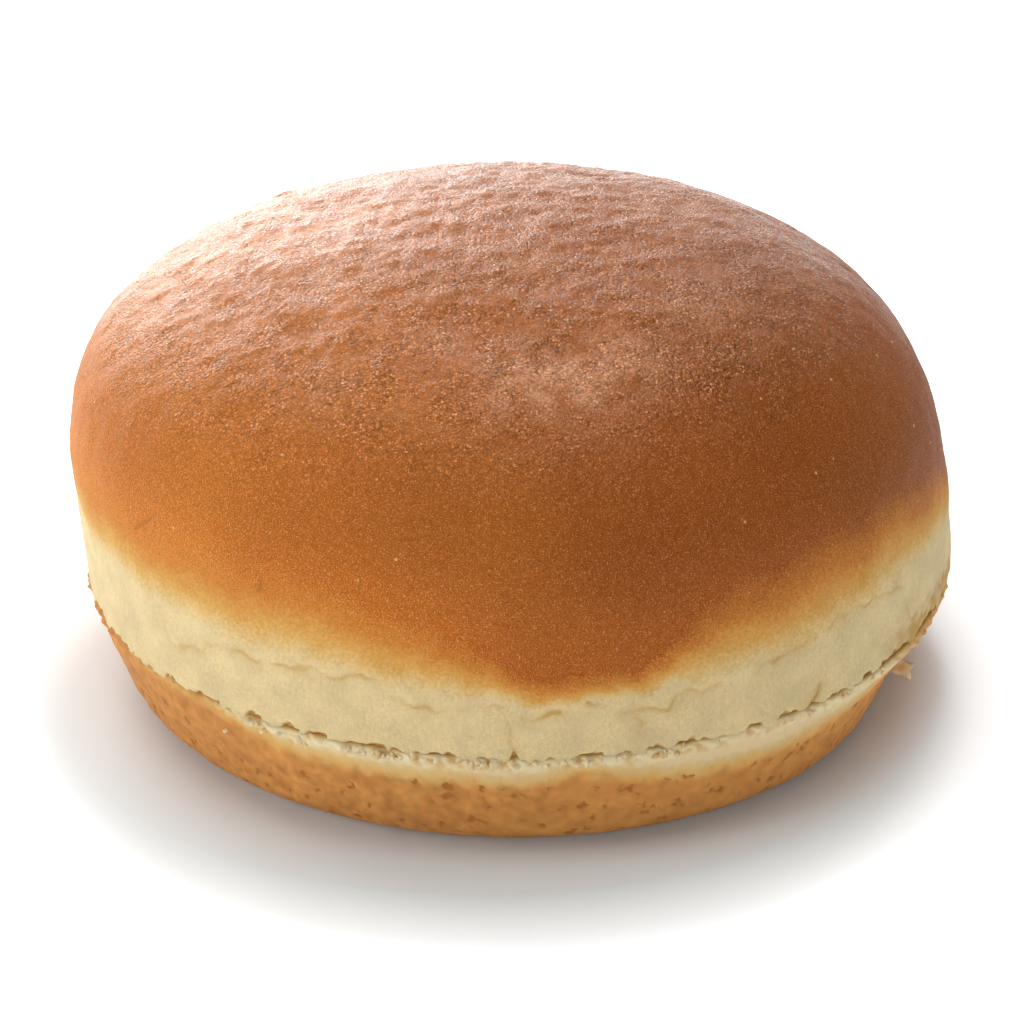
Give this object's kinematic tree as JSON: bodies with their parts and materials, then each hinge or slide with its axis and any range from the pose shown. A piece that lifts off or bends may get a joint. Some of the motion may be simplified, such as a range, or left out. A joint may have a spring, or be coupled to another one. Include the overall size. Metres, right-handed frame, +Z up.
{
  "type": "brioche bun",
  "caption": "Round soft burger bun with a domed, browned crown over a pale side, sliced level above a shallow browned heel.",
  "frame": {"origin": "middle of the bun's footprint, on the surface that it stands on", "axes": "+Z up through the crown, +X to the right and -Y to the front as the bun is looked at"},
  "size_m": [0.1002, 0.0986, 0.0526],
  "materials": {
    "crown_crust": "satin brown egg-washed crust, pale yellow dough below the shoulder",
    "heel_crust": "matt golden-brown crust with small pits and a pale torn lip",
    "crumb": "matt, pale, open crumb"
  },
  "bodies": {
    "root": {"crown": "crown_crust", "heel": "heel_crust"}
  },
  "joints": []
}
